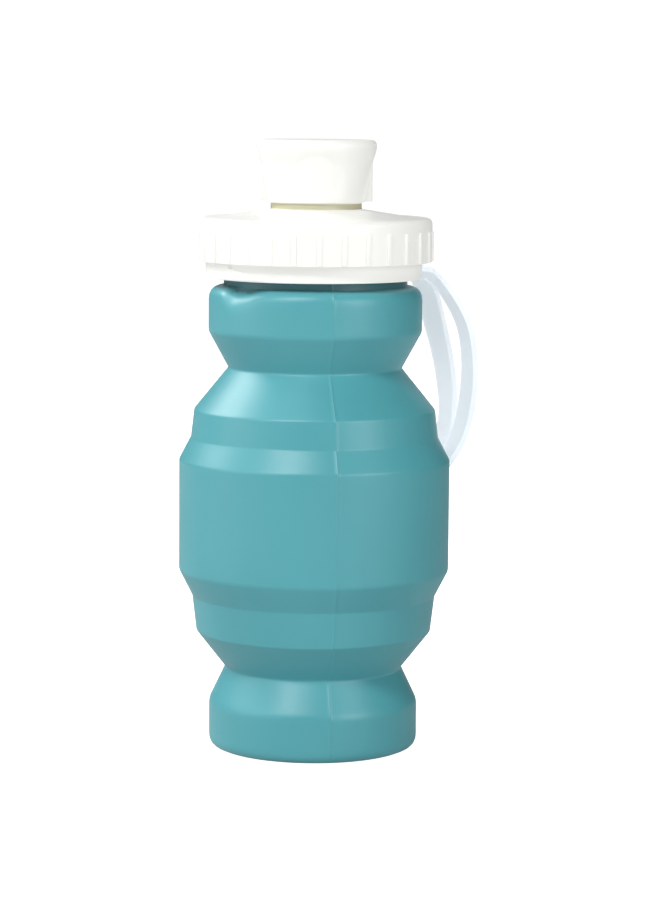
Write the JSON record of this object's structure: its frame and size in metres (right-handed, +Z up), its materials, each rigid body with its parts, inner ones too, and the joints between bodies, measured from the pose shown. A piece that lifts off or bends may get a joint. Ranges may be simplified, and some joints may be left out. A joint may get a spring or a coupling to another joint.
{
  "type": "folding water bottle",
  "caption": "Pleated silicone water bottle that collapses ring into ring, with a screw lid, a screw cap over the spout and a carrying strap.",
  "frame": {"origin": "centre of the flat underside, on the bottle's axis", "axes": "+Z up along the bottle's axis, -Y towards the front, +X to the right"},
  "size_m": [0.0924, 0.0832, 0.187],
  "materials": {
    "teal_silicone": "matte moulded silicone",
    "white_plastic": "satin moulded plastic",
    "milky_silicone": "translucent milky silicone",
    "clear_seal": "translucent silicone seal"
  },
  "bodies": {
    "base": {"base_cup": "teal_silicone", "lower_fold_web": "teal_silicone"},
    "lower_ring": {"lower_ring": "teal_silicone", "lower_shoulder_web": "teal_silicone"},
    "barrel": {"barrel": "teal_silicone", "upper_shoulder_web": "teal_silicone"},
    "upper_ring": {"upper_ring": "teal_silicone", "upper_fold_web": "teal_silicone"},
    "neck": {"neck_section": "teal_silicone", "neck_collar": "white_plastic", "neck_insert": "white_plastic", "strap_tab": "milky_silicone"},
    "strap": {"strap_loop": "milky_silicone"},
    "lid_seal": {"lid_gasket": "clear_seal"},
    "lid": {"screw_lid": "white_plastic"},
    "cap_seal": {"cap_seal": "clear_seal"},
    "cap": {"drinking_cap": "white_plastic"}
  },
  "joints": [
    {"name": "lower_fold", "type": "slide", "parent": "base", "child": "lower_ring", "axis": [0, 0, -1], "range_m": [0, 0.023], "deforming": ["lower_fold_web"]},
    {"name": "lower_shoulder_fold", "type": "slide", "parent": "lower_ring", "child": "barrel", "axis": [0, 0, -1], "range_m": [0, 0.016], "deforming": ["lower_shoulder_web"]},
    {"name": "upper_shoulder_fold", "type": "slide", "parent": "barrel", "child": "upper_ring", "axis": [0, 0, -1], "range_m": [0, 0.0138], "deforming": ["upper_shoulder_web"]},
    {"name": "upper_fold", "type": "slide", "parent": "upper_ring", "child": "neck", "axis": [0, 0, -1], "range_m": [0, 0.0256], "deforming": ["upper_fold_web"]},
    {"name": "strap_swing", "type": "hinge", "parent": "neck", "child": "strap", "pos_m": [0.03153, 0.02048, 0.1472], "axis": [0.5446, -0.8387, 0], "range_deg": [0, 100]},
    {"name": "lid_lift", "type": "slide", "parent": "neck", "child": "lid_seal", "axis": [0, 0, 1], "range_m": [0, 0.016]},
    {"name": "lid_turn", "type": "hinge", "parent": "lid_seal", "child": "lid", "pos_m": [0, 0, 0.15], "axis": [0, 0, 1], "range_deg": [0, 1440.5]},
    {"name": "cap_lift", "type": "slide", "parent": "lid", "child": "cap_seal", "axis": [0, 0, 1], "range_m": [0, 0.016]},
    {"name": "cap_turn", "type": "hinge", "parent": "cap_seal", "child": "cap", "pos_m": [0, 0, 0.168], "axis": [0, 0, 1], "range_deg": [0, 1440.5]}
  ],
  "couplings": [
    {"joint": "lid_turn", "follows": "lid_lift", "rad_per_m": 1570.8},
    {"joint": "cap_turn", "follows": "cap_lift", "rad_per_m": 1570.8}
  ]
}
